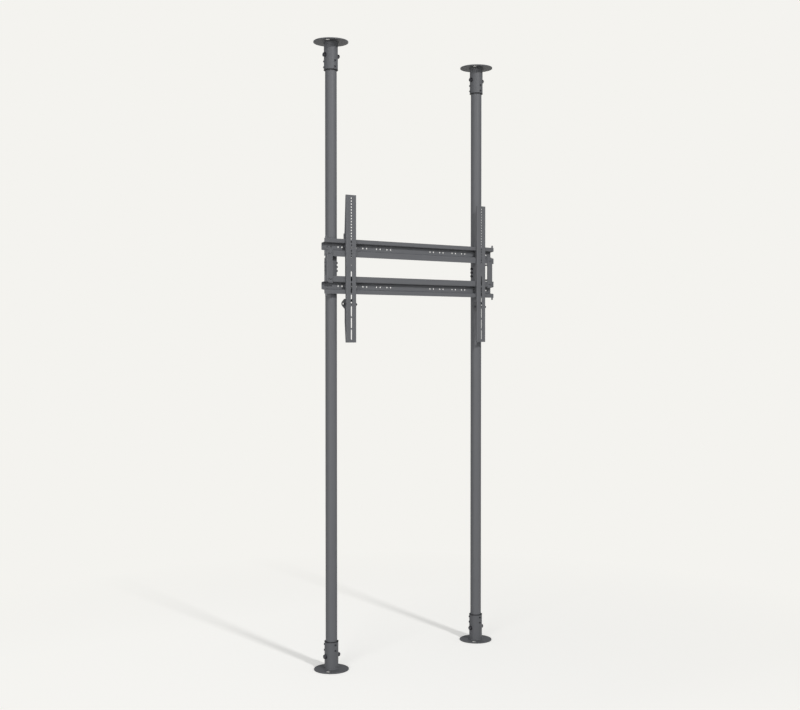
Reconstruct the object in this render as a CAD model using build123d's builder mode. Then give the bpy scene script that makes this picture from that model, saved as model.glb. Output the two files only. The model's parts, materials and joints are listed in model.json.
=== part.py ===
from build123d import *
import os

# A screen mount held between floor and ceiling by two poles. The origin is on the floor,
# midway between the poles. +X runs right along the rails, +Y runs back from the screen
# side and +Z is up. All sizes are in millimetres.

# Room and poles
room_height = 2700
pole_spacing = 820
pole_d = 50
pole_wall = 2.5
pole_end_gap = 30  # free above the pole, so that it can be let up into the ceiling socket

# Flanged sockets at the floor and the ceiling
plate_d = 150
plate_t = 5
plate_edge = 1
plate_bolt_circle = 110
plate_hole_count = 2
plate_hole_turn = 42  # first hole, from the rails' direction
plate_hole_d = 11
plate_sink_d = 20
sink_angle = 90
socket_play = 2  # all round the pole
socket_wall = 3
socket_h = 116
weld = 4
rim_bevel = 0.6
bush_depth = 5  # inside the socket's mouth
bush_lip_h = 3.5
bush_lip_out = 0.8  # past the socket
bush_round = 1.2

# What holds a pole in its socket: one bolt right through, and two rows of set screws
cross_bolt_d = 10
cross_bolt_height = 55  # above the plate
set_screw_d = 8
set_screw_proud = 3
set_screw_from_rim = 10
set_screw_pitch = 25
set_screw_rows = 2
set_screw_angles = (-90, 30, 150)  # seen from above, the first one looks at the screen
hex_key = 4
hex_key_depth = 4

# Rails: two folded sheet profiles, one the mirror image of the other
bracket_z = 1737  # middle of the two rails
rail_past_pole = 66  # rail's end beyond the pole's axis
rail_gap = 83
rail_inner_flange = 25
rail_web = 28
rail_outer_flange = 17
rail_step = 3  # height that each sloping side of the web takes
rail_depth = 24.5
rail_sheet = 2.5
rail_bend = 2.5  # to the middle of the sheet
rail_hole_d = 7
rail_hole_pitch = 130  # between groups of four holes, the outermost group lies on the pole
rail_hole_groups = 3
rail_hole_near = 18.5
rail_hole_far = 38.5
tooth_w = 8
tooth_h = 10
tooth_from_end = 4
tooth_round = 2

# Brackets that join both rails to a pole
bracket_sheet = 4
bracket_front_w = 31
bracket_past_flange = 4.5  # above and below the rails' inner flanges
bracket_corner = 8
bracket_side_play = 2.5  # to each rail
bracket_behind_pole = 8
bracket_lip = 10
bracket_bend_share = 0.8  # outer radius of a bend, in sheets
bracket_slot_w = 17  # opening along the bend, between the rails
bracket_slot_end = 7  # left above and below it
bracket_slot_round = 3
bracket_bolt_d = 6
bracket_bolt_count = 3
bracket_bolt_pitch = 17
rail_screw_d = 5
rail_screw_pitch = 12
rail_screw_in = 13  # from the flange's free edge

# Arms that the screen is screwed to
arm_left_in = 64  # arm's middle, inwards from the left pole's axis
arm_right_in = 20  # the same at the right pole
arm_w = 52
arm_length = 632
arm_above_rail = 189
arm_standoff = 12  # arm's face before the rail's face
arm_sheet = 2.5
arm_bend = 4
arm_end_depth = 8
arm_shoulder_depth = 16
arm_lock_depth = 15
arm_notch_depth = 8.5
arm_taper = 76
hook_depth = 23
hook_above_rail = 24
hook_reach = 13
hook_round = 2
arm_hole_d = 7
arm_hole_pitch = 12.5
arm_hole_count = 21
arm_hole_from_top = 14
plumb_hole_d = 4
plumb_hole_drop = 36
slot_length = 44
slot_pitch = 50
slot_count = 6
slot_from_end = 12

# Lock under each arm's foot: a sprung latch that reaches up behind the lower rail
lock_drop = 44  # pivot below the lower rail's edge
lock_pivot_in = 9  # pivot behind the arm's face
lock_bolt_d = 6
lock_spacer_wall = 1.3
latch_sheet = 2.5
latch_top = 23
latch_bottom = 21
latch_boss_d = 16
latch_web_h = 12
latch_web_in = 46  # web's end from the arm's left side
latch_round = 4
latch_gap = 0.3  # latch's web behind the arm's flanges, which stop it
tongue_w = 22
tongue_in = 8  # from the arm's left side
tongue_catch = 5  # overlap with the lower rail's edge
eye_hole_d = 10
eye_d = 22
eye_behind = 24.5  # arm's face to the eye's middle
eye_above_pivot = 3
spring_wire = 1.2
spring_turns = 4
spring_pitch_share = 0.92  # turns pressed together, in wires
spring_leg = 25
spring_hold = 6

# Clearances
slide_gap = 0.3
turn_gap = 0.3
seat_gap = 0.5
bolt_play = 0.3
hook_play = 0.5

# Proportions of the fasteners, as shares of the thread's diameter
hex_flats = 1.65
bolt_head = 0.65
nut_h = 0.85
washer_d = 2
washer_t = 0.2
thread_end = 0.3
point_bevel = 1 / 12
button_d = 1.8
button_h = 0.55
button_round = 0.8  # of the dome's height, like the key hole's depth
button_key = 0.6
hex_bevel_angle = 60
hex_bevel_start = 0.95

# Places worked out from the sizes above
pole_r = pole_d / 2
socket_r = pole_r + socket_play + socket_wall
rail_length = pole_spacing + 2 * rail_past_pole
rail_back = pole_r + seat_gap
rail_front = rail_back + rail_depth
rail_h = rail_inner_flange + rail_outer_flange + rail_web + 2 * rail_step
rail_edge = rail_gap / 2 + rail_h  # outer edge above or below the middle of the bracket
bracket_in = pole_spacing / 2 + pole_r + slide_gap  # side leg's face on the pole
bracket_out = bracket_in + bracket_front_w
bracket_front_h = rail_gap + 2 * (rail_inner_flange + bracket_past_flange)
bracket_side_h = rail_gap - 2 * bracket_side_play
bracket_slot_h = bracket_side_h - 2 * bracket_slot_end
bracket_first_bolt = bracket_z - (bracket_bolt_count - 1) * bracket_bolt_pitch / 2
bracket_bolt_heights = [bracket_first_bolt + k * bracket_bolt_pitch for k in range(bracket_bolt_count)]
arm_front = rail_front + arm_standoff
arm_top = bracket_z + rail_edge + arm_above_rail
lock_z = bracket_z - rail_edge - lock_drop
lock_e = arm_front - lock_pivot_in
spacer_r = lock_bolt_d / 2 + bolt_play + lock_spacer_wall
sides = {"left": -1, "right": 1}
arm_places = {"left": arm_left_in - pole_spacing / 2, "right": pole_spacing / 2 - arm_right_in}

os.makedirs("parts", exist_ok=True)


def save(piece, label):
    piece.label = label
    export_step(piece, f"parts/{label}.step")


def front(distance):
    """Upright plane that far before the poles' axes, facing the screen."""
    return Plane.XZ.offset(distance)


def along_x(x, y, z, direction):
    """Plane across the X axis, facing the given way along it."""
    return Plane(origin=(x, y, z), x_dir=(0, 1, 0), z_dir=(direction, 0, 0))


def hexagon(seat, flats, height, both_ends=False):
    """Hexagon standing on the seat, with its outer corners turned to a cone."""
    with BuildPart() as body:
        with BuildSketch(seat):
            RegularPolygon(flats / 2, 6, major_radius=False)
        extrude(amount=height)
        with BuildSketch(seat.offset(height)):
            Circle(hex_bevel_start * flats / 2)
        extrude(amount=-height, taper=-hex_bevel_angle, mode=Mode.INTERSECT)
        if both_ends:
            with BuildSketch(seat):
                Circle(hex_bevel_start * flats / 2)
            extrude(amount=height, taper=-hex_bevel_angle, mode=Mode.INTERSECT)
    return body.part


def hex_bolt(seat, d, length):
    """Hexagon bolt: the head stands on the seat, the shank goes back from it."""
    head = hexagon(seat, hex_flats * d, bolt_head * d)
    with BuildPart() as bolt:
        add(head)
        with BuildSketch(seat):
            Circle(d / 2)
        extrude(amount=-length)
        end = bolt.faces().sort_by(Axis(seat.origin, seat.z_dir))[0]
        chamfer(end.edges(), point_bevel * d)
    return bolt.part


def hex_nut(seat, d):
    body = hexagon(seat, hex_flats * d, nut_h * d, both_ends=True)
    with BuildPart() as nut:
        add(body)
        with BuildSketch(seat):
            Circle(d / 2)
        extrude(amount=nut_h * d, mode=Mode.SUBTRACT)
    return nut.part


def washer(seat, d):
    with BuildPart() as ring:
        with BuildSketch(seat):
            Circle(washer_d * d / 2)
            Circle(d / 2 + bolt_play, mode=Mode.SUBTRACT)
        extrude(amount=washer_t * d)
    return ring.part


def set_screw(tip, length):
    """Headless screw from the pole outwards, with a hexagon key hole in its outer end."""
    with BuildPart() as screw:
        with BuildSketch(tip):
            Circle(set_screw_d / 2)
        extrude(amount=length)
        ends = screw.faces().sort_by(Axis(tip.origin, tip.z_dir))
        chamfer((ends[0] + ends[-1]).edges(), point_bevel * set_screw_d)
        with BuildSketch(tip.offset(length)):
            RegularPolygon(hex_key / 2, 6, major_radius=False)
        extrude(amount=-hex_key_depth, mode=Mode.SUBTRACT)
    return screw.part


def button_screw(seat, d, length):
    """Low domed screw with a hexagon key hole."""
    dome_h = button_h * d
    with BuildPart() as screw:
        with BuildSketch(seat):
            Circle(button_d * d / 2)
        extrude(amount=dome_h)
        top = screw.faces().sort_by(Axis(seat.origin, seat.z_dir))[-1]
        fillet(top.edges(), button_round * dome_h)
        with BuildSketch(seat.offset(dome_h)):
            RegularPolygon(hex_key / 2, 6, major_radius=False)
        extrude(amount=-button_key * dome_h, mode=Mode.SUBTRACT)
        with BuildSketch(seat):
            Circle(d / 2)
        extrude(amount=-length)
    return screw.part


def flanged_socket(base, pole_x, bolt_z, first_hole, screw_planes):
    """Round plate with a tube welded on: the base plane is the plate's outer face."""
    with BuildPart() as socket:
        with BuildSketch(base):
            Circle(plate_d / 2)
        extrude(amount=plate_t)
        fillet(socket.edges().filter_by(GeomType.CIRCLE), plate_edge)
        with BuildSketch(base.offset(plate_t)):
            Circle(socket_r)
        extrude(amount=socket_h)
        rings = socket.edges().filter_by(lambda e: e.geom_type == GeomType.CIRCLE and abs(e.radius - socket_r) < 0.01)
        rings = rings.sort_by(Axis(base.origin, base.z_dir))
        fillet(rings[0], weld)
        chamfer(rings[-1], rim_bevel)
        with BuildSketch(base.offset(plate_t)):
            Circle(socket_r - socket_wall)
        extrude(amount=socket_h, mode=Mode.SUBTRACT)
        with Locations(base.offset(plate_t)):
            with PolarLocations(plate_bolt_circle / 2, plate_hole_count, start_angle=first_hole):
                CounterSinkHole(plate_hole_d / 2, plate_sink_d / 2, plate_t, sink_angle)
        with BuildSketch(along_x(pole_x, 0, bolt_z, 1)):
            Circle(cross_bolt_d / 2 + bolt_play)
        extrude(amount=2 * socket_r, both=True, mode=Mode.SUBTRACT)
        for plane in screw_planes:
            with BuildSketch(plane):
                Circle(set_screw_d / 2)
            extrude(amount=socket_r, mode=Mode.SUBTRACT)
    return socket.part


def mouth_bush(rim):
    """Plastic ring between socket and pole: the rim plane looks out of the socket's mouth."""
    with BuildPart() as bush:
        with BuildSketch(rim):
            Circle(socket_r + bush_lip_out)
        extrude(amount=bush_lip_h)
        fillet(bush.edges().filter_by(GeomType.CIRCLE), bush_round)
        with BuildSketch(rim):
            Circle(socket_r - socket_wall - slide_gap)
        extrude(amount=-bush_depth)
        with BuildSketch(rim.offset(-bush_depth)):
            Circle(pole_r + slide_gap)
        extrude(amount=bush_depth + bush_lip_h, mode=Mode.SUBTRACT)
    return bush.part


# Each pole with its two sockets and their screws
for side, sign in sides.items():
    pole_x = sign * pole_spacing / 2
    bolt_heights = {
        "floor": plate_t + cross_bolt_height,
        "ceiling": room_height - plate_t - cross_bolt_height,
    }

    with BuildPart() as pole:
        with BuildSketch(Plane.XY.offset(plate_t)):
            with Locations((pole_x, 0)):
                Circle(pole_r)
                Circle(pole_r - pole_wall, mode=Mode.SUBTRACT)
        extrude(amount=room_height - 2 * plate_t - pole_end_gap)
        for z in bolt_heights.values():
            with BuildSketch(along_x(pole_x, 0, z, 1)):
                Circle(cross_bolt_d / 2 + bolt_play)
            extrude(amount=pole_d, both=True, mode=Mode.SUBTRACT)
        for z in bracket_bolt_heights:
            with BuildSketch(along_x(pole_x, 0, z, 1)):
                Circle(bracket_bolt_d / 2 + bolt_play)
            extrude(amount=pole_d, both=True, mode=Mode.SUBTRACT)
    save(pole.part, f"pole_{side}")

    for end, up in {"floor": 1, "ceiling": -1}.items():
        plate_z = 0 if end == "floor" else room_height
        bolt_z = bolt_heights[end]
        base = Plane(origin=(pole_x, 0, plate_z), x_dir=(1, 0, 0), z_dir=(0, 0, up))
        screw_planes = []
        for row in range(set_screw_rows):
            height = plate_t + socket_h - set_screw_from_rim - row * set_screw_pitch
            for angle in set_screw_angles:
                out = Vector(1, 0, 0).rotate(Axis.Z, angle)
                tip = Vector(pole_x, 0, plate_z + up * height) + out * pole_r
                screw_planes.append(Plane(origin=tip, z_dir=out))
        socket = flanged_socket(base, pole_x, bolt_z, up * plate_hole_turn, screw_planes)
        save(socket, f"{end}_socket_{side}")
        save(mouth_bush(base.offset(plate_t + socket_h)), f"{end}_socket_bush_{side}")

        screw_length = socket_r - pole_r + set_screw_proud
        screws = [set_screw(plane, screw_length) for plane in screw_planes]
        save(Compound(children=screws), f"{end}_set_screws_{side}")

        washer_h = washer_t * cross_bolt_d
        washer_out = socket_r + washer_h
        washers = [washer(along_x(pole_x + s * socket_r, 0, bolt_z, s), cross_bolt_d) for s in (-1, 1)]
        save(Compound(children=washers), f"{end}_bolt_washers_{side}")
        shank = 2 * socket_r + 2 * washer_h + (nut_h + thread_end) * cross_bolt_d
        head_seat = along_x(pole_x - washer_out, 0, bolt_z, -1)
        save(hex_bolt(head_seat, cross_bolt_d, shank), f"{end}_cross_bolt_{side}")
        nut_seat = along_x(pole_x + washer_out, 0, bolt_z, 1)
        save(hex_nut(nut_seat, cross_bolt_d), f"{end}_bolt_nut_{side}")


# Rails
def rail(up):
    """Hat profile with its open side to the screen; up is -1 for the lower rail."""
    flange_y = -(rail_front - rail_sheet / 2)
    web_y = -(rail_back + rail_sheet / 2)
    heights = [rail_gap / 2]
    for strip in (rail_inner_flange, rail_step, rail_web, rail_step, rail_outer_flange):
        heights.append(heights[-1] + strip)
    depths = (flange_y, flange_y, web_y, web_y, flange_y, flange_y)
    with BuildPart() as body:
        with BuildSketch(Plane.YZ.offset(-rail_length / 2)):
            with BuildLine():
                FilletPolyline(
                    [(y, bracket_z + up * h) for y, h in zip(depths, heights)],
                    radius=rail_bend,
                )
            trace(line_width=rail_sheet)
        extrude(amount=rail_length)
        tooth_x = rail_length / 2 - tooth_from_end - tooth_w / 2
        with BuildSketch(front(rail_front - rail_sheet)) as teeth:
            with Locations((-tooth_x, bracket_z + up * rail_edge), (tooth_x, bracket_z + up * rail_edge)):
                Rectangle(tooth_w, 2 * tooth_h)
            fillet(teeth.vertices(), tooth_round)
        extrude(amount=rail_sheet)
        web_z = bracket_z + up * (rail_gap + rail_inner_flange * 2 + rail_step * 2 + rail_web) / 2
        with BuildSketch(front(rail_back)):
            for group in range(rail_hole_groups):
                centre = pole_spacing / 2 - group * rail_hole_pitch
                for offset in (-rail_hole_far, -rail_hole_near, rail_hole_near, rail_hole_far):
                    with Locations((centre + offset, web_z), (-centre - offset, web_z)):
                        Circle(rail_hole_d / 2)
        extrude(amount=rail_sheet, mode=Mode.SUBTRACT)
        with BuildSketch(front(rail_front - rail_sheet)):
            for x, z in rail_screw_places(up):
                with Locations((x, z), (-x, z)):
                    Circle(rail_screw_d / 2 + bolt_play)
        extrude(amount=rail_sheet, mode=Mode.SUBTRACT)
    return body.part


def rail_screw_places(up):
    """Two screws side by side in the middle of a bracket's front leg, right hand end."""
    middle = (bracket_in + bracket_sheet + bracket_out) / 2
    z = bracket_z + up * (rail_gap / 2 + rail_screw_in)
    return [(middle + k * rail_screw_pitch / 2, z) for k in (-1, 1)]


save(rail(1), "rail_top")
save(rail(-1), "rail_bottom")

# Brackets: a folded channel on the outer side of each pole, screwed to both rails
for side, sign in sides.items():
    screw_places = [(sign * x, z) for up in (-1, 1) for x, z in rail_screw_places(up)]
    inner_x = sign * bracket_in
    outer_x = sign * bracket_out

    with BuildPart() as bracket:
        with BuildSketch(front(rail_front)) as leg:
            with Locations(((inner_x + outer_x) / 2, bracket_z)):
                Rectangle(bracket_front_w, bracket_front_h)
            chamfer(leg.vertices().group_by(Axis.X)[0 if sign < 0 else -1], bracket_corner)
        extrude(amount=bracket_sheet)
        side_depth = rail_front + bracket_behind_pole
        with BuildSketch(Plane.YZ.offset(inner_x)) as side_leg:
            with Locations((-(rail_front - side_depth / 2), bracket_z)):
                Rectangle(side_depth, bracket_side_h)
            fillet(side_leg.vertices().group_by(Axis.Y)[-1], bracket_corner)
        extrude(amount=sign * bracket_sheet)
        with BuildSketch(Plane.YZ.offset(outer_x)):
            with Locations((-(rail_front - bracket_lip / 2), bracket_z)):
                Rectangle(bracket_lip, bracket_side_h)
        extrude(amount=-sign * bracket_sheet)
        bends = [
            edge
            for edge in bracket.edges().filter_by(Axis.Z)
            if abs(edge.center().Y + rail_front + bracket_sheet) < 0.01
        ]
        fillet(bends, bracket_sheet * bracket_bend_share)
        with BuildSketch(front(rail_front)):
            with Locations(*screw_places):
                Circle(rail_screw_d / 2 + bolt_play)
        extrude(amount=bracket_sheet, mode=Mode.SUBTRACT)
        for z in bracket_bolt_heights:
            with BuildSketch(along_x(inner_x, 0, z, sign)):
                Circle(bracket_bolt_d / 2 + bolt_play)
            extrude(amount=bracket_sheet, mode=Mode.SUBTRACT)
        with BuildSketch(Plane.YZ.offset(inner_x)):
            with Locations((-(rail_front - bracket_slot_w / 2), bracket_z)):
                RectangleRounded(bracket_slot_w, bracket_slot_h, bracket_slot_round)
        extrude(amount=sign * bracket_sheet, mode=Mode.SUBTRACT)
    save(bracket.part, f"pole_bracket_{side}")

    screw_shank = bracket_sheet + rail_sheet + (nut_h + thread_end) * rail_screw_d
    rail_screws = []
    rail_nuts = []
    for x, z in screw_places:
        head_seat = Plane(origin=(x, -rail_front - bracket_sheet, z), z_dir=(0, -1, 0))
        nut_seat = Plane(origin=(x, -rail_front + rail_sheet, z), z_dir=(0, 1, 0))
        rail_screws.append(button_screw(head_seat, rail_screw_d, screw_shank))
        rail_nuts.append(hex_nut(nut_seat, rail_screw_d))
    save(Compound(children=rail_screws), f"rail_screws_{side}")
    save(Compound(children=rail_nuts), f"rail_nuts_{side}")

    washer_h = washer_t * bracket_bolt_d
    inside = sign * (pole_spacing / 2 - pole_r)
    outside = sign * (bracket_in + bracket_sheet)
    shank = abs(outside - inside) + washer_h + (nut_h + thread_end) * bracket_bolt_d
    bolts = []
    nuts = []
    washers = []
    for z in bracket_bolt_heights:
        bolts.append(button_screw(along_x(outside, 0, z, sign), bracket_bolt_d, shank))
        washers.append(washer(along_x(inside, 0, z, -sign), bracket_bolt_d))
        nuts.append(hex_nut(along_x(inside - sign * washer_h, 0, z, -sign), bracket_bolt_d))
    save(Compound(children=bolts), f"bracket_bolts_{side}")
    save(Compound(children=nuts), f"bracket_nuts_{side}")
    save(Compound(children=washers), f"bracket_washers_{side}")


# Arms
def arm_outline():
    """Side view of an arm's flange, as (depth behind the arm's face, height) points."""
    top_edge = bracket_z + rail_edge
    bottom_edge = bracket_z - rail_edge
    rail_depth_in = arm_standoff - hook_play  # just clear of the rail's face
    hook_in = arm_standoff + rail_sheet + hook_play
    arm_bottom = arm_top - arm_length
    notch_bottom = lock_z + latch_top
    return [
        (0, arm_top),
        (0, arm_bottom),
        (arm_end_depth, arm_bottom),
        (arm_lock_depth, lock_z - arm_taper),
        (arm_lock_depth, notch_bottom),
        (arm_notch_depth, notch_bottom),
        (arm_notch_depth, bottom_edge),
        (rail_depth_in, bottom_edge),
        (rail_depth_in, top_edge + slide_gap),
        (hook_in, top_edge + slide_gap),
        (hook_in, top_edge - hook_reach),
        (hook_depth, top_edge - hook_reach),
        (hook_depth, top_edge + hook_above_rail),
        (arm_shoulder_depth, top_edge + hook_above_rail),
        (arm_end_depth, arm_top),
    ]


def arm(x):
    """Channel with its back open to the rails, hooked over the upper one."""
    points = [(depth - arm_front, z) for depth, z in arm_outline()]
    with BuildPart() as body:
        with BuildSketch(Plane.YZ.offset(x - arm_w / 2)) as outline:
            with BuildLine():
                Polyline(*points, close=True)
            make_face()
            hook_y = hook_depth - arm_front
            tip = [v for v in outline.vertices() if abs(v.X - hook_y) < 0.01]
            fillet(tip, hook_round)
        extrude(amount=arm_w)
        with BuildSketch(front(0)):
            with Locations((x, arm_top - arm_length / 2)):
                Rectangle(arm_w - 2 * arm_sheet, arm_length)
        extrude(amount=arm_front - arm_sheet, mode=Mode.SUBTRACT)
        face_edges = [
            edge
            for edge in body.edges().filter_by(Axis.Z)
            if abs(edge.center().Y + arm_front) < 0.01
        ]
        fillet(face_edges, arm_bend)
        top_hole = arm_top - arm_hole_from_top
        last_hole = top_hole - (arm_hole_count - 1) * arm_hole_pitch
        first_slot = arm_top - arm_length + slot_from_end + slot_length / 2
        with BuildSketch(front(arm_front - arm_sheet)):
            for k in range(arm_hole_count):
                with Locations((x, top_hole - k * arm_hole_pitch)):
                    Circle(arm_hole_d / 2)
            with Locations((x, last_hole - plumb_hole_drop)):
                Circle(plumb_hole_d / 2)
            for k in range(slot_count):
                with Locations((x, first_slot + k * slot_pitch)):
                    SlotOverall(slot_length, arm_hole_d, rotation=90)
        extrude(amount=arm_sheet, mode=Mode.SUBTRACT)
        with BuildSketch(along_x(x, -lock_e, lock_z, 1)):
            Circle(lock_bolt_d / 2 + bolt_play)
        extrude(amount=arm_w, both=True, mode=Mode.SUBTRACT)
    return body.part


def latch(x):
    """Folded plate: a cheek with a pull eye beside the arm, a web, and a tongue behind the rail."""
    outer = x - arm_w / 2 - turn_gap - latch_sheet
    web_front = arm_lock_depth + latch_gap - arm_front
    web_back = web_front + latch_sheet
    eye = (eye_behind - arm_front, lock_z + eye_above_pivot)
    corners = [
        (web_back - latch_round, lock_z + latch_top - latch_round),
        (-lock_e - latch_round, lock_z + latch_top - latch_round),
        (-lock_e, lock_z - latch_bottom + latch_round),
    ]
    with BuildPart() as body:
        with BuildSketch(Plane.YZ.offset(outer)):
            with Locations(*corners):
                Circle(latch_round)
            with Locations(eye):
                Circle(eye_d / 2)
            with Locations((-lock_e, lock_z)):
                Circle(latch_boss_d / 2)
            make_hull()
            with Locations(eye):
                Circle(eye_hole_d / 2, mode=Mode.SUBTRACT)
            with Locations((-lock_e, lock_z)):
                Circle(lock_bolt_d / 2 + bolt_play, mode=Mode.SUBTRACT)
        extrude(amount=latch_sheet)
        web_left = outer + latch_sheet
        web_right = x - arm_w / 2 + latch_web_in
        tongue_left = x - arm_w / 2 + tongue_in
        web_top = lock_z + latch_top
        web_bottom = web_top - latch_web_h
        tongue_top = bracket_z - rail_edge + tongue_catch
        with BuildSketch(front(-web_back)) as web:
            with BuildLine():
                Polyline(
                    (web_left, web_bottom),
                    (web_right, web_bottom),
                    (web_right, web_top),
                    (tongue_left + tongue_w, web_top),
                    (tongue_left + tongue_w, tongue_top),
                    (tongue_left, tongue_top),
                    (tongue_left, web_top),
                    (web_left, web_top),
                    close=True,
                )
            make_face()
            fillet(web.vertices().group_by(Axis.Y)[-1], latch_round)
            fillet(web.vertices().group_by(Axis.X)[-1], latch_round)
        extrude(amount=latch_sheet)
    return body.part


def latch_spring(x):
    """Close wound spring about the spacer: one leg on the arm's face, one behind the latch."""
    wire_r = spring_wire / 2
    coil_r = spacer_r + turn_gap + wire_r
    pitch = spring_pitch_share * spring_wire
    first = x - arm_w / 2 + arm_sheet + seat_gap + wire_r
    last = first + (spring_turns - 1) * pitch
    pivot = Axis((x, -lock_e, lock_z), (1, 0, 0))
    leg_back = -(arm_front - arm_lock_depth - latch_gap - latch_sheet) + turn_gap + wire_r
    web_bottom = lock_z + latch_top - latch_web_h
    with BuildPart() as spring:
        with BuildSketch(Plane(origin=(0, -lock_e, 0), x_dir=(1, 0, 0), z_dir=(0, -1, 0))):
            for turn in range(spring_turns):
                with Locations((first + turn * pitch, lock_z + coil_r)):
                    Circle(wire_r)
        revolve(axis=pivot, revolution_arc=360)
        with BuildSketch(Plane.XY.offset(lock_z)):
            with Locations((last, -lock_e - coil_r)):
                Circle(wire_r)
        extrude(amount=spring_leg)
    with BuildLine() as path:
        FilletPolyline(
            (first, -lock_e, lock_z - coil_r),
            (first, leg_back, lock_z - coil_r),
            (first, leg_back, web_bottom + spring_hold),
            radius=2 * wire_r,
        )
    with BuildPart() as leg:
        with BuildSketch(Plane(origin=path.line @ 0, z_dir=path.line % 0)):
            Circle(wire_r)
        sweep(path=path.line)
    with BuildPart() as whole:
        add(spring.part)
        add(leg.part)
    return whole.part


for side, x in arm_places.items():
    save(arm(x), f"arm_{side}")
    save(latch(x), f"lock_latch_{side}")
    save(latch_spring(x), f"lock_spring_{side}")

    washer_h = washer_t * lock_bolt_d
    right = x + arm_w / 2
    head_x = x - arm_w / 2 - latch_sheet - 2 * turn_gap
    shank = right - head_x + washer_h + (nut_h + thread_end) * lock_bolt_d
    save(hex_bolt(along_x(head_x, -lock_e, lock_z, -1), lock_bolt_d, shank), f"lock_bolt_{side}")
    save(washer(along_x(right, -lock_e, lock_z, 1), lock_bolt_d), f"lock_washer_{side}")
    save(hex_nut(along_x(right + washer_h, -lock_e, lock_z, 1), lock_bolt_d), f"lock_nut_{side}")

    with BuildPart() as spacer:
        with BuildSketch(along_x(x, -lock_e, lock_z, 1)):
            Circle(spacer_r)
            Circle(lock_bolt_d / 2 + bolt_play, mode=Mode.SUBTRACT)
        extrude(amount=arm_w / 2 - arm_sheet, both=True)
    save(spacer.part, f"lock_spacer_{side}")
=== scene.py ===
# %% [markdown]
# # A floor-to-ceiling tv mount
# Two steel poles stand in flanged sockets between floor and ceiling. Two folded rails are bolted
# across them, and two slotted arms hang on the rails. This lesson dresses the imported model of
# that mount: it gives each part the surface that the real one has, adds the small things that a
# solid model leaves plain, such as threads, welds and wound springs, and sets up a plain studio.
# The model could be rebuilt here from nothing, but its solids already have the true sizes, so
# they are kept and only what is too fine for them is modelled.

import json
import math

import bpy
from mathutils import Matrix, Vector


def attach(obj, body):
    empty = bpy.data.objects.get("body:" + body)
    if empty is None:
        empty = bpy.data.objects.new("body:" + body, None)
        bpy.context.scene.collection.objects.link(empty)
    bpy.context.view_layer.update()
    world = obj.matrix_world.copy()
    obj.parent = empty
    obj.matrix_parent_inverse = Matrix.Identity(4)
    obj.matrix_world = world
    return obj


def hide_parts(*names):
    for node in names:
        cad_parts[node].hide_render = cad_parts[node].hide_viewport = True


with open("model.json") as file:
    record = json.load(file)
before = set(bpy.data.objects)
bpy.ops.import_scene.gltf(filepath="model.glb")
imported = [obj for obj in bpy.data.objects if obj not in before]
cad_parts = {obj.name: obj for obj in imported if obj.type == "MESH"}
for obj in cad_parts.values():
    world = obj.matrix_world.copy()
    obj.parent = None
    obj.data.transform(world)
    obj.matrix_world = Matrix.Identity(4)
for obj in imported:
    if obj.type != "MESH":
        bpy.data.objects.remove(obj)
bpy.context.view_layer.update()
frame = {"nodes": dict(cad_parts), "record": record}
nodes = frame["nodes"]

# %% [markdown]
# Blender counts in metres and the drawing in millimetres, so every size of the mount below is
# written in millimetres and multiplied by MM. The places are those of the model: the poles'
# spacing, the heights of the bolts and the arms' middles. They could be read off the meshes, but
# written out they can be followed on a drawing. X runs to the right, Y to the back and Z up.

# %% Sizes of the real mount, in millimetres
MM = 0.001
SIDES = {"left": -1, "right": 1}
ROOM_H = 2700
POLE_X = 410
POLE_R = 25
SOCKET_R = 30
PLATE_T = 5
PLATE_HOLE_R = 55
PLATE_HOLE_TURN = math.radians(42)
CROSS_BOLT_RISE = 55
BRACKET_Z = 1737
BRACKET_BOLT_PITCH = 17
RAIL_SCREW_X = {"inner": 446.8, "outer": 458.8}
RAIL_SCREW_RISE = 54.5
RAIL_NUT_BACK_Y = -43.25
ARM_X = {"left": -346, "right": 390}
ARM_HALF = 26
LOCK_Y = -53
LOCK_Z = BRACKET_Z - 161.5

# %% [markdown]
# Colours are written as the hex values that a colour picker shows. Blender's shaders work with
# linear light, where half as bright is half the number, so each value goes through the sRGB
# curve once. Typing linear numbers by hand would do too, but nobody can picture them.

# %% Colour and node helpers
def linear(hex_code):
    """Linear RGBA of an sRGB hex colour such as 6a6b6e."""
    channels = [int(hex_code[i : i + 2], 16) / 255 for i in (0, 2, 4)]
    curve = [c / 12.92 if c <= 0.04045 else ((c + 0.055) / 1.055) ** 2.4 for c in channels]
    return (*curve, 1.0)


def add_node(tree, kind, settings=(), links=()):
    """Adds a node. Settings are node options or socket values, links are sockets to plug in."""
    node = tree.nodes.new(kind)
    for key, value in dict(settings).items():
        if isinstance(key, str) and hasattr(node, key):
            setattr(node, key, value)
        else:
            node.inputs[key].default_value = value
    for key, socket in dict(links).items():
        tree.links.new(socket, node.inputs[key])
    return node


def new_material(name):
    """Empty node material with its output, ready for a shader."""
    material = bpy.data.materials.new(name)
    material.use_nodes = True
    tree = material.node_tree
    tree.nodes.clear()
    output = add_node(tree, "ShaderNodeOutputMaterial")
    return material, tree, output


# %% [markdown]
# ## Powder-coated steel
# Polyester powder is sprayed on dry and baked. It melts into a film about 0.08 mm thick that has
# a faint orange peel, a ripple about 2 mm from crest to crest. The film is a plastic, so the
# shader is not metallic: its IOR is 1.5 and its roughness sets how wide the sheen spreads. A
# picture of real coating could be used, but noise at a known size in millimetres never repeats.
# The colour drifts by a few percent over a hand's width, as any coat does, and the sheen drifts
# with it.

# %% Powder coat
PEEL_MM = 2.2
PEEL_DEPTH_MM = 0.15
PEEL_STRENGTH = 0.05
DRIFT_MM = 90


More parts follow.
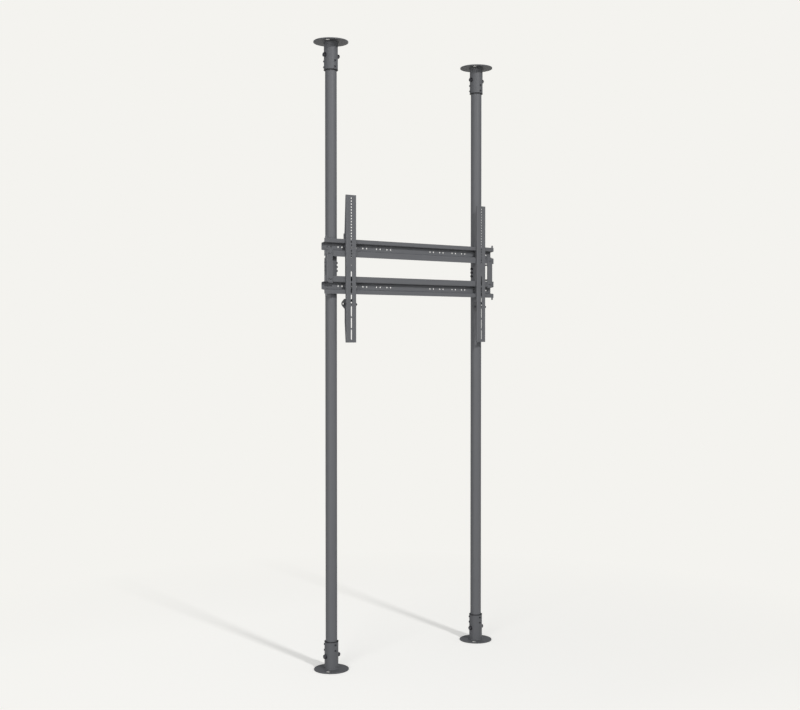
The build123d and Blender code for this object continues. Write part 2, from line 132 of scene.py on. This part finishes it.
def powder_coat(name, colour, light, roughness):
    """Powder coat between two close colours, with the shader and place that a mix can use."""
    material, tree, output = new_material(name)
    place = add_node(tree, "ShaderNodeTexCoord")
    drift = add_node(
        tree,
        "ShaderNodeTexNoise",
        {"Scale": 1 / (DRIFT_MM * MM), "Detail": 3.0, "Roughness": 0.55},
        {"Vector": place.outputs["Object"]},
    )
    tint = add_node(
        tree,
        "ShaderNodeMix",
        {"data_type": "RGBA", 6: linear(colour), 7: linear(light)},
        {0: drift.outputs[0]},
    )
    grain = add_node(
        tree,
        "ShaderNodeTexNoise",
        {"Scale": 1 / (PEEL_MM * MM), "Detail": 2.0, "Roughness": 0.5},
        {"Vector": place.outputs["Object"]},
    )
    bump = add_node(
        tree,
        "ShaderNodeBump",
        {"Strength": PEEL_STRENGTH, "Distance": PEEL_DEPTH_MM * MM},
        {"Height": grain.outputs[0]},
    )
    gloss = add_node(
        tree,
        "ShaderNodeMapRange",
        {"From Min": 0.3, "From Max": 0.7, "To Min": roughness - 0.03, "To Max": roughness + 0.04},
        {"Value": drift.outputs[0]},
    )
    shader = add_node(
        tree,
        "ShaderNodeBsdfPrincipled",
        {"IOR": 1.5, "Metallic": 0.0},
        {"Base Color": tint.outputs[2], "Roughness": gloss.outputs[0], "Normal": bump.outputs[0]},
    )
    tree.links.new(shader.outputs[0], output.inputs["Surface"])
    return material, shader, place


pole_coat = powder_coat("Powder-coated steel tube, satin graphite", "67686b", "6c6d70", 0.55)[0]
bracket_coat = powder_coat("Powder-coated sheet steel, satin graphite", "67686b", "6c6d70", 0.55)[0]
latch_coat = powder_coat("Powder-coated latch plate, satin graphite", "58595b", "5d5e60", 0.5)[0]
print("coats", pole_coat.name, "/", bracket_coat.name, "/", latch_coat.name)

# %% [markdown]
# The plates' holes were countersunk after coating, so each has a ring of bare, turned steel that
# catches the light. The solid has the cone already. What is missing is where the coat stops, and
# that is drawn by distance. Both holes of a plate lie on one line through its pole, so a point is
# turned by that line's angle and folded over with Absolute, which puts all eight holes on one
# spot. Everything within the cone's radius of it is bare. Patches would need the mesh cut up.

# %% Socket coat with bare countersinks
SINK_R = 8.6


def bare_at_holes(material, shader, place):
    """Mixes turned steel into the coat wherever a countersunk hole is near."""
    tree = material.node_tree
    split = add_node(tree, "ShaderNodeSeparateXYZ", {}, {0: place.outputs["Object"]})
    side = add_node(tree, "ShaderNodeMath", {"operation": "SIGN"}, {0: split.outputs[0]})
    pole = add_node(
        tree, "ShaderNodeMath", {"operation": "MULTIPLY", 1: POLE_X * MM}, {0: side.outputs[0]}
    )
    x = add_node(
        tree, "ShaderNodeMath", {"operation": "SUBTRACT"}, {0: split.outputs[0], 1: pole.outputs[0]}
    )
    flat = add_node(tree, "ShaderNodeCombineXYZ", {}, {0: x.outputs[0], 1: split.outputs[1]})
    turned = add_node(
        tree,
        "ShaderNodeVectorRotate",
        {"rotation_type": "Z_AXIS", "Angle": -PLATE_HOLE_TURN},
        {"Vector": flat.outputs[0]},
    )
    folded = add_node(
        tree, "ShaderNodeVectorMath", {"operation": "ABSOLUTE"}, {0: turned.outputs[0]}
    )
    away = add_node(
        tree,
        "ShaderNodeVectorMath",
        {"operation": "DISTANCE", 1: (PLATE_HOLE_R * MM, 0, 0)},
        {0: folded.outputs[0]},
    )
    near = add_node(
        tree,
        "ShaderNodeMath",
        {"operation": "LESS_THAN", 1: SINK_R * MM},
        {0: away.outputs["Value"]},
    )
    steel = add_node(
        tree,
        "ShaderNodeBsdfPrincipled",
        {"Base Color": linear("e4e3e0"), "Metallic": 1.0, "Roughness": 0.68},
    )
    mix = add_node(
        tree,
        "ShaderNodeMixShader",
        {},
        {0: near.outputs[0], 1: shader.outputs[0], 2: steel.outputs[0]},
    )
    tree.links.new(mix.outputs[0], tree.nodes["Material Output"].inputs["Surface"])


# The sockets' coat is the poles' graphite powder made a little darker. That darkening is painted
# shade, standing in for the shade that falls on the flanged plates.
socket_coat, coat_shader, coat_place = powder_coat(
    "Powder-coated flanged socket, satin graphite", "606164", "66676a", 0.55
)
bare_at_holes(socket_coat, coat_shader, coat_place)
print("socket coat with bare countersinks", PLATE_HOLE_R, "mm from the pole")

# %% [markdown]
# ## Small hardware
# The screws, bolts and nuts are blackened: black oxide turns the steel itself dark and leaves it
# slightly glossy with oil. It is still a metal, with a dark colour. The spacer is zinc plated,
# which is pale and a little blue. The springs are drawn wire, with fine lines along the wire that
# are far too small to show, so plain steel of medium roughness does. Handling leaves a metal's
# polish uneven, and a noise of 0.8 mm in its roughness gives that.

# %% Metals
POLISH_MM = 0.8


def metal(name, colour, roughness):
    """Metal with a light, uneven polish."""
    material, tree, output = new_material(name)
    place = add_node(tree, "ShaderNodeTexCoord")
    noise = add_node(
        tree,
        "ShaderNodeTexNoise",
        {"Scale": 1 / (POLISH_MM * MM), "Detail": 3.0},
        {"Vector": place.outputs["Object"]},
    )
    gloss = add_node(
        tree,
        "ShaderNodeMapRange",
        {"From Min": 0.3, "From Max": 0.7, "To Min": roughness - 0.05, "To Max": roughness + 0.08},
        {"Value": noise.outputs[0]},
    )
    shader = add_node(
        tree,
        "ShaderNodeBsdfPrincipled",
        {"Base Color": linear(colour), "Metallic": 1.0},
        {"Roughness": gloss.outputs[0]},
    )
    tree.links.new(shader.outputs[0], output.inputs["Surface"])
    return material


black_steel = metal("Black oxide steel", "525256", 0.42)
spring_steel = metal("Drawn spring steel", "b4b4b6", 0.3)
zinc = metal("Zinc-plated steel", "c2c5c9", 0.35)
print("metals", black_steel.name, spring_steel.name, zinc.name)

# %% [markdown]
# ## Nylon
# The rings in the sockets' mouths and in the lock nuts are moulded nylon. It is slightly waxy,
# with an IOR of 1.53, and its mould was spark eroded, which leaves a grain about half a
# millimetre across. A bump draws the grain, and the same noise makes its sheen uneven.

# %% Moulded nylon
MOULD_GRAIN_MM = 0.5
MOULD_DEPTH_MM = 0.04


def moulded_nylon(name, colour, roughness):
    """Nylon with the fine grain of its mould."""
    material, tree, output = new_material(name)
    place = add_node(tree, "ShaderNodeTexCoord")
    grain = add_node(
        tree,
        "ShaderNodeTexNoise",
        {"Scale": 1 / (MOULD_GRAIN_MM * MM), "Detail": 2.0},
        {"Vector": place.outputs["Object"]},
    )
    bump = add_node(
        tree,
        "ShaderNodeBump",
        {"Strength": 0.2, "Distance": MOULD_DEPTH_MM * MM},
        {"Height": grain.outputs[0]},
    )
    gloss = add_node(
        tree,
        "ShaderNodeMapRange",
        {"From Min": 0.3, "From Max": 0.7, "To Min": roughness - 0.05, "To Max": roughness + 0.05},
        {"Value": grain.outputs[0]},
    )
    shader = add_node(
        tree,
        "ShaderNodeBsdfPrincipled",
        {"Base Color": linear(colour), "IOR": 1.53},
        {"Roughness": gloss.outputs[0], "Normal": bump.outputs[0]},
    )
    tree.links.new(shader.outputs[0], output.inputs["Surface"])
    return material


nylon = moulded_nylon("Moulded nylon, natural", "d8dcde", 0.5)
bush_nylon = moulded_nylon("Moulded nylon, black", "242426", 0.6)
print("nylon", nylon.name, "/", bush_nylon.name)

# %% [markdown]
# ## Finishing the model's parts
# The record of the model says for each part which finish slot it has. Its mesh came in with a
# plain material, which is cleared and gives way to the finish made above. The parts could be
# finished one by one by hand, but the table shows at a glance what is made of what.

# %% Give every part of the model its finish
FINISH = {
    "pole_coat": pole_coat,
    "socket_coat": socket_coat,
    "bracket_coat": bracket_coat,
    "latch_coat": latch_coat,
    "bush_plastic": bush_nylon,
    "black_steel": black_steel,
    "spring_steel": spring_steel,
    "zinc_plate": zinc,
}
for part in frame["record"]["subparts"]:
    mesh = nodes[part["node"]].data
    mesh.materials.clear()
    mesh.materials.append(FINISH[part["material_slot"]])

# %% [markdown]
# ## Working by operator
# An operator acts on whatever is selected, and the import leaves the whole model selected, so
# every piece starts by deselecting all. When a piece is done, its place is applied into its mesh,
# so that its object sits at the origin as the model's own parts do. Its finish and its body are
# set in one place.

# %% Helpers for new pieces
def deselect():
    """Leaves edit mode and selects nothing."""
    if bpy.context.object and bpy.context.object.mode != "OBJECT":
        bpy.ops.object.mode_set(mode="OBJECT")
    bpy.ops.object.select_all(action="DESELECT")


def only(obj):
    """Makes obj the one selected and active object."""
    deselect()
    obj.select_set(True)
    bpy.context.view_layer.objects.active = obj


def put(obj, location=(0, 0, 0), rotation=(0, 0, 0)):
    """Moves and turns a piece, then applies it, so that its place is in its mesh."""
    only(obj)
    obj.location = [v * MM for v in location]
    obj.rotation_euler = rotation
    bpy.ops.object.transform_apply(location=True, rotation=True, scale=True)
    return obj


def finish_piece(obj, name, material, body, replaced=()):
    """Names the piece, gives it its finish and lets it ride on its body."""
    obj.name = name
    obj.data.name = name
    obj.data.materials.clear()
    obj.data.materials.append(material)
    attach(obj, body)
    if replaced:
        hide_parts(*replaced)
    return obj


def copy_of(obj):
    """A copy with a mesh of its own."""
    twin = obj.copy()
    twin.data = obj.data.copy()
    bpy.context.collection.objects.link(twin)
    return twin


def turn_faces_out():
    """Recalculates the active piece's normals, so that every face points outwards."""
    bpy.ops.object.mode_set(mode="EDIT")
    bpy.ops.mesh.select_all(action="SELECT")
    bpy.ops.mesh.normals_make_consistent(inside=False)
    bpy.ops.object.mode_set(mode="OBJECT")


# %% [markdown]
# ## Threads
# Each bolt sticks out of its nut by up to two turns of thread. A thread is one ridge that winds
# round the shank, so a three-sided profile is swept by a Screw modifier: once round for each
# turn, with one pitch of lift. Rings would look alike from afar, but a thread that doesn't climb
# looks wrong close up. Each size is wound once and copied to its bolts.

# %% Thread ridges
THREADS = {
    "cross": {"diameter": 10, "pitch": 1.5, "length": 2.9},
    "bracket": {"diameter": 6, "pitch": 1.0, "length": 1.6},
    "rail": {"diameter": 5, "pitch": 0.8, "length": 1.3},
    "lock": {"diameter": 6, "pitch": 1.0, "length": 1.6},
}
RIDGE = 0.42
RIDGE_SINK = 0.1
RIDGE_STEPS = 28


def thread_ridge(diameter, pitch, length):
    """Ridge of a thread along +X from the origin, with closed ends."""
    deselect()
    bpy.ops.mesh.primitive_circle_add(
        vertices=3,
        radius=RIDGE * pitch * MM,
        fill_type="NOTHING",
        location=(RIDGE * pitch * 0.5 * MM, (diameter / 2 - RIDGE_SINK * pitch) * MM, 0),
    )
    ridge = bpy.context.object
    bpy.ops.object.transform_apply(location=True, rotation=True, scale=True)
    turns = (length - pitch * RIDGE) / pitch
    bpy.ops.object.modifier_add(type="SCREW")
    screw = ridge.modifiers[-1]
    screw.axis = "X"
    screw.angle = 2 * math.pi * turns
    screw.screw_offset = turns * pitch * MM
    screw.steps = screw.render_steps = int(RIDGE_STEPS * turns)
    bpy.ops.object.modifier_apply(modifier=screw.name)
    bpy.ops.object.mode_set(mode="EDIT")
    bpy.ops.mesh.select_all(action="SELECT")
    bpy.ops.mesh.fill_holes(sides=3)
    turn_faces_out()
    bpy.ops.object.shade_smooth_by_angle(angle=math.radians(35))
    return ridge


ridges = {kind: thread_ridge(**size) for kind, size in THREADS.items()}
print("threads", {kind: len(ridge.data.polygons) for kind, ridge in ridges.items()})

# %% [markdown]
# The ends of the bolts are where the nuts stop: on the sockets and arms all nuts sit on the
# right, on the brackets on the poles' inner sides, and the rail screws point back from the screen
# side. A washer and a nut are as thick as a share of the bolt's diameter, so one function gives
# the distance from the metal to the nut's outer face.

# %% Threads on their bolts
WASHER_T = 0.2
NUT_H = 0.85
TURN = {"right": 0, "left": math.pi, "back": math.pi / 2}


def past_nut(kind):
    """From the clamped metal to the outer face of a nut on its washer."""
    return (WASHER_T + NUT_H) * THREADS[kind]["diameter"]


def heights(middle, step, names):
    """Names of rows, from the lowest up, with their heights round a middle."""
    return [(name, middle + (i - (len(names) - 1) / 2) * step) for i, name in enumerate(names)]


thread_places = []
for side, sign in SIDES.items():
    x = sign * POLE_X + SOCKET_R + past_nut("cross")
    rise = PLATE_T + CROSS_BOLT_RISE
    for end, z in (("floor", rise), ("ceiling", ROOM_H - rise)):
        thread_places.append((f"{end}_bolt_thread_{side}", "cross", (x, 0, z), "right", "frame"))

    x = sign * (POLE_X - POLE_R - past_nut("bracket"))
    way = "left" if sign > 0 else "right"
    for row, z in heights(BRACKET_Z, BRACKET_BOLT_PITCH, ("lower", "middle", "upper")):
        name = f"{row}_bracket_bolt_thread_{side}"
        thread_places.append((name, "bracket", (x, 0, z), way, "frame"))

    for row, z in heights(BRACKET_Z, 2 * RAIL_SCREW_RISE, ("lower", "upper")):
        for column, x in RAIL_SCREW_X.items():
            name = f"{row}_{column}_rail_screw_thread_{side}"
            start = (sign * x, RAIL_NUT_BACK_Y, z)
            thread_places.append((name, "rail", start, "back", "frame"))

    start = (ARM_X[side] + ARM_HALF + past_nut("lock"), LOCK_Y, LOCK_Z)
    thread_places.append((f"lock_bolt_thread_{side}", "lock", start, "right", f"arm_{side}"))

for name, kind, start, way, body in thread_places:
    piece = put(copy_of(ridges[kind]), start, (0, 0, TURN[way]))
    finish_piece(piece, name, black_steel, body)
for ridge in ridges.values():
    bpy.data.objects.remove(ridge)
print("thread ends", len(thread_places))

# %% [markdown]
# ## Weld beads
# Each socket's tube is welded to its plate all round. A weld made by hand is a row of small
# overlapping pools, about 4 mm apart, and the coat over them rounds them off. A torus is laid
# into the corner, and every third ring of it is drawn in a little, which leaves the pools
# between. A bump texture would vanish in outline, and the bead is seen edge on.

# %% Weld beads
BEAD_R = 2.7
BEAD_RING_R = SOCKET_R + 1.5
BEAD_RISE = 1.3
POOLS = 48
POOL_DIP = 0.45


def weld_bead():
    """Bead round the origin, with a row of pools."""
    deselect()
    bpy.ops.mesh.primitive_torus_add(
        major_segments=3 * POOLS,
        minor_segments=12,
        major_radius=BEAD_RING_R * MM,
        minor_radius=BEAD_R * MM,
    )
    bead = bpy.context.object
    step = 2 * math.pi / POOLS
    for vertex in bead.data.vertices:
        angle = math.atan2(vertex.co.y, vertex.co.x) % step
        vertex.select = min(angle, step - angle) < step / 6
    for edge in bead.data.edges:
        edge.select = all(bead.data.vertices[v].select for v in edge.vertices)
    for face in bead.data.polygons:
        face.select = False
    bpy.ops.object.mode_set(mode="EDIT")
    bpy.ops.mesh.select_mode(type="VERT")
    bpy.ops.transform.shrink_fatten(value=-POOL_DIP * MM)
    bpy.ops.object.mode_set(mode="OBJECT")
    bpy.ops.object.shade_smooth()
    return bead


bead = weld_bead()
for side, sign in SIDES.items():
    for end, z in (("floor", PLATE_T + BEAD_RISE), ("ceiling", ROOM_H - PLATE_T - BEAD_RISE)):
        piece = put(copy_of(bead), (sign * POLE_X, 0, z))
        finish_piece(piece, f"{end}_weld_{side}", socket_coat, "frame")
bpy.data.objects.remove(bead)
print("weld beads", 4, "pools each", POOLS)

# %% [markdown]
# ## Latch springs
# A torsion spring turns each latch back. Its wire comes down inside the arm's face, winds round
# the spacer and leaves under the latch's web. The model has it as stacked rings. Here a ring of
# wire is wound by a Screw modifier for three and a quarter turns, and the two legs are pulled
# out of its ends with extrude. A curve would do as well, but its legs would need handles set.

# %% Springs
WIRE_R = 0.6
COIL_R = 5.5
COIL_PITCH = 1.27
COIL_TURNS = 3.25
COIL_STEPS = 32
COIL_START = -ARM_HALF + 7.7
LEG_UP = 25
LEG_BACK_Y = -43.3
LEG_CATCH_RISE = 17


def pull_leg(spring, end, moves):
    """Extrudes the open wire whose end is given along each move, and closes it."""
    middle = Vector(end) * MM
    for vertex in spring.data.vertices:
        vertex.select = (vertex.co - middle).length < WIRE_R * 1.05 * MM
    rim = {v.index for v in spring.data.vertices if v.select}
    for edge in spring.data.edges:
        edge.select = set(edge.vertices) <= rim
    for face in spring.data.polygons:
        face.select = False
    bpy.ops.object.mode_set(mode="EDIT")
    bpy.ops.mesh.select_mode(type="VERT")
    for move in moves:
        bpy.ops.mesh.extrude_region_move(TRANSFORM_OT_translate={"value": [v * MM for v in move]})
    bpy.ops.mesh.edge_face_add()
    bpy.ops.object.mode_set(mode="OBJECT")


def latch_spring(x):
    """Spring round the pivot of the arm whose middle is at x."""
    deselect()
    bpy.ops.mesh.primitive_circle_add(
        vertices=12,
        radius=WIRE_R * MM,
        fill_type="NOTHING",
        location=(0, -COIL_R * MM, 0),
    )
    spring = bpy.context.object
    bpy.ops.object.transform_apply(location=True, rotation=True, scale=True)
    bpy.ops.object.modifier_add(type="SCREW")
    screw = spring.modifiers[-1]
    screw.axis = "X"
    screw.angle = 2 * math.pi * COIL_TURNS
    screw.screw_offset = -COIL_TURNS * COIL_PITCH * MM
    screw.steps = screw.render_steps = int(COIL_STEPS * COIL_TURNS)
    bpy.ops.object.modifier_apply(modifier=screw.name)

    first = x + COIL_START
    last = first - COIL_TURNS * COIL_PITCH
    put(spring, (first, LOCK_Y, LOCK_Z))
    pull_leg(spring, (first, LOCK_Y - COIL_R, LOCK_Z), [(0, 0, LEG_UP)])
    pull_leg(
        spring,
        (last, LOCK_Y, LOCK_Z - COIL_R),
        [
            (0, LEG_BACK_Y - LOCK_Y - WIRE_R, 0),
            (0, WIRE_R, WIRE_R),
            (0, 0, LEG_CATCH_RISE + COIL_R - WIRE_R),
        ],
    )
    turn_faces_out()
    bpy.ops.object.shade_smooth_by_angle(angle=math.radians(50))
    return spring


springs = []
for side, x in ARM_X.items():
    name, body, replaced = f"latch_spring_{side}", f"latch_{side}", [f"lock_spring_{side}"]
    piece = finish_piece(latch_spring(x), name, spring_steel, body, replaced)
    springs.append(piece)
print("springs", {spring.name: len(spring.data.polygons) for spring in springs})

# %% [markdown]
# ## Nylon rings
# The pivot bolt must stay free to turn, so its nut locks by a nylon ring pressed into its outer
# face. The ring grips the thread. It is a torus pressed flat in edit mode.

# %% Nylon rings
RING_R = 3.7
RING_WALL = 0.65
RING_FLAT = 0.6


def nylon_ring():
    """Flattened ring round the X axis at the origin."""
    deselect()
    bpy.ops.mesh.primitive_torus_add(
        major_segments=40,
        minor_segments=10,
        major_radius=RING_R * MM,
        minor_radius=RING_WALL * MM,
        rotation=(0, math.pi / 2, 0),
    )
    ring = bpy.context.object
    bpy.ops.object.transform_apply(location=True, rotation=True, scale=True)
    bpy.ops.object.mode_set(mode="EDIT")
    bpy.ops.mesh.select_all(action="SELECT")
    bpy.ops.transform.resize(value=(RING_FLAT, 1, 1), center_override=(0, 0, 0))
    bpy.ops.object.mode_set(mode="OBJECT")
    bpy.ops.object.shade_smooth()
    return ring


ring = nylon_ring()
for side, x in ARM_X.items():
    piece = put(copy_of(ring), (x + ARM_HALF + past_nut("lock"), LOCK_Y, LOCK_Z))
    finish_piece(piece, f"lock_nut_ring_{side}", nylon, f"arm_{side}")
bpy.data.objects.remove(ring)
print("nylon rings", len(ARM_X))

# %% [markdown]
# ## The studio
# The floor is pale and falls away into a background of the same colour, so no horizon shows. A
# curved paper sweep would do that in a real studio. Here the floor shades as plain paint near the
# feet, where it catches the shadows, and turns into the background's colour further out. A faint
# glow of its own grows towards the back, because the lamp in front lights the near part more.
# The rays that light the mount meet a plain grey floor instead, so that the glow stays off it.

# %% Floor
BACKDROP = "f4f3ef"
FLOOR_SIZE = 60
FADE_FROM, FADE_TO = 0.3, 2.5
GLOW_REACH = 1.0
GLOW_NEAR, GLOW_FAR = 0.33, 0.47

deselect()
bpy.ops.mesh.primitive_plane_add(size=FLOOR_SIZE, location=(0, 0, 0))
floor = bpy.context.object
floor.name = "studio_floor"
floor_paint, tree, output = new_material("Matt floor paint")
place = add_node(tree, "ShaderNodeTexCoord")
away = add_node(
    tree, "ShaderNodeVectorMath", {"operation": "LENGTH"}, {0: place.outputs["Object"]}
)
fade = add_node(
    tree,
    "ShaderNodeMapRange",
    {"From Min": FADE_FROM, "From Max": FADE_TO, "To Min": 1.0, "To Max": 0.0},
    {"Value": away.outputs["Value"]},
)
matt = add_node(tree, "ShaderNodeBsdfDiffuse", {"Color": linear("fffefb")})
split = add_node(tree, "ShaderNodeSeparateXYZ", {}, {0: place.outputs["Object"]})
evening = add_node(
    tree,
    "ShaderNodeMapRange",
    {"From Min": -GLOW_REACH, "From Max": GLOW_REACH, "To Min": GLOW_NEAR, "To Max": GLOW_FAR},
    {"Value": split.outputs[1]},
)
lift = add_node(
    tree,
    "ShaderNodeEmission",
    {"Color": linear(BACKDROP)},
    {"Strength": evening.outputs["Result"]},
)
paint = add_node(tree, "ShaderNodeAddShader", {}, {0: matt.outputs[0], 1: lift.outputs[0]})
glow = add_node(tree, "ShaderNodeEmission", {"Color": linear(BACKDROP), "Strength": 1.0})
shown = add_node(
    tree,
    "ShaderNodeMixShader",
    {},
    {0: fade.outputs[0], 1: glow.outputs[0], 2: paint.outputs[0]},
)
rays = add_node(tree, "ShaderNodeLightPath")
plain = add_node(tree, "ShaderNodeBsdfDiffuse", {"Color": linear("747372")})
seen = add_node(
    tree,
    "ShaderNodeMath",
    {"operation": "MAXIMUM"},
    {0: rays.outputs["Is Camera Ray"], 1: rays.outputs["Is Glossy Ray"]},
)
mix = add_node(
    tree,
    "ShaderNodeMixShader",
    {},
    {0: seen.outputs[0], 1: plain.outputs[0], 2: shown.outputs[0]},
)
tree.links.new(mix.outputs[0], output.inputs["Surface"])
floor.data.materials.append(floor_paint)
print("floor", FLOOR_SIZE, "m square, fading from", FADE_FROM, "to", FADE_TO, "m")

# %% [markdown]
# The world shows the background's colour to the camera. As a light it is brighter from the sides
# than from above and below, as a room with pale walls is. How steeply a ray climbs decides
# between the two, so a picture of a room isn't needed.

# %% World
WALL_LIGHT, CEILING_LIGHT = 0.63, 0.12
WALL_TOP, CEILING_EDGE = 0.15, 0.75

world = bpy.context.scene.world or bpy.data.worlds.new("Studio")
bpy.context.scene.world = world
world.use_nodes = True
tree = world.node_tree
tree.nodes.clear()
output = add_node(tree, "ShaderNodeOutputWorld")
rays = add_node(tree, "ShaderNodeLightPath")
way = add_node(tree, "ShaderNodeTexCoord")
split = add_node(tree, "ShaderNodeSeparateXYZ", {}, {0: way.outputs["Generated"]})
slope = add_node(tree, "ShaderNodeMath", {"operation": "ABSOLUTE"}, {0: split.outputs[2]})
level = add_node(
    tree,
    "ShaderNodeMapRange",
    {
        "From Min": WALL_TOP,
        "From Max": CEILING_EDGE,
        "To Min": WALL_LIGHT,
        "To Max": CEILING_LIGHT,
    },
    {"Value": slope.outputs[0]},
)
air = add_node(
    tree, "ShaderNodeBackground", {"Color": linear("f2f4f7")}, {"Strength": level.outputs[0]}
)
back = add_node(tree, "ShaderNodeBackground", {"Color": linear(BACKDROP), "Strength": 1.0})
mix = add_node(
    tree,
    "ShaderNodeMixShader",
    {},
    {0: rays.outputs["Is Camera Ray"], 1: air.outputs[0], 2: back.outputs[0]},
)
tree.links.new(mix.outputs[0], output.inputs["Surface"])
print("world light from", CEILING_LIGHT, "above to", WALL_LIGHT, "at the sides")

# %% [markdown]
# A small, strong softbox stands far in front of the mount and above it, so the poles' shadows
# run straight back over the floor with soft edges. A wide, weak one on the left keeps the near
# sides open. A sun lamp would do for the first, but its shadows run parallel, and these spread a
# little.

# %% Lamps
def softbox(name, place, target, size, power):
    """Square area lamp that faces its target."""
    deselect()
    bpy.ops.object.light_add(type="AREA", location=place)
    lamp = bpy.context.object
    lamp.name = name
    lamp.data.shape = "SQUARE"
    lamp.data.size = size
    lamp.data.energy = power
    lamp.rotation_euler = (Vector(target) - Vector(place)).to_track_quat("-Z", "Y").to_euler()
    return lamp


softbox("Front softbox", place=(-0.42, -9.4, 7.4), target=(0, 0, 1.2), size=0.8, power=560)
softbox("Left softbox", place=(-6.0, -3.6, 2.0), target=(0, 0, 1.4), size=3.0, power=150)

# %% [markdown]
# ## Camera
# The camera stands a little left of the mount's middle, at the height of a standing eye, and
# looks along the rails at a slant. Its lens gives the mount's full height in the frame.

# %% Camera and view
CAMERA_AT = (-3.205, -4.193, 1.444)
LOOKS_DOWN = 0.98
LOOKS_RIGHT = 37.055

deselect()
bpy.ops.object.camera_add(
    location=CAMERA_AT,
    rotation=(math.radians(90 - LOOKS_DOWN), 0, math.radians(-LOOKS_RIGHT)),
)
camera = bpy.context.object
camera.data.lens = 52.65
camera.data.sensor_width = 36
camera.data.clip_end = 200
bpy.context.scene.camera = camera
bpy.context.scene.view_settings.view_transform = "Standard"
print("camera", CAMERA_AT, "lens", camera.data.lens)
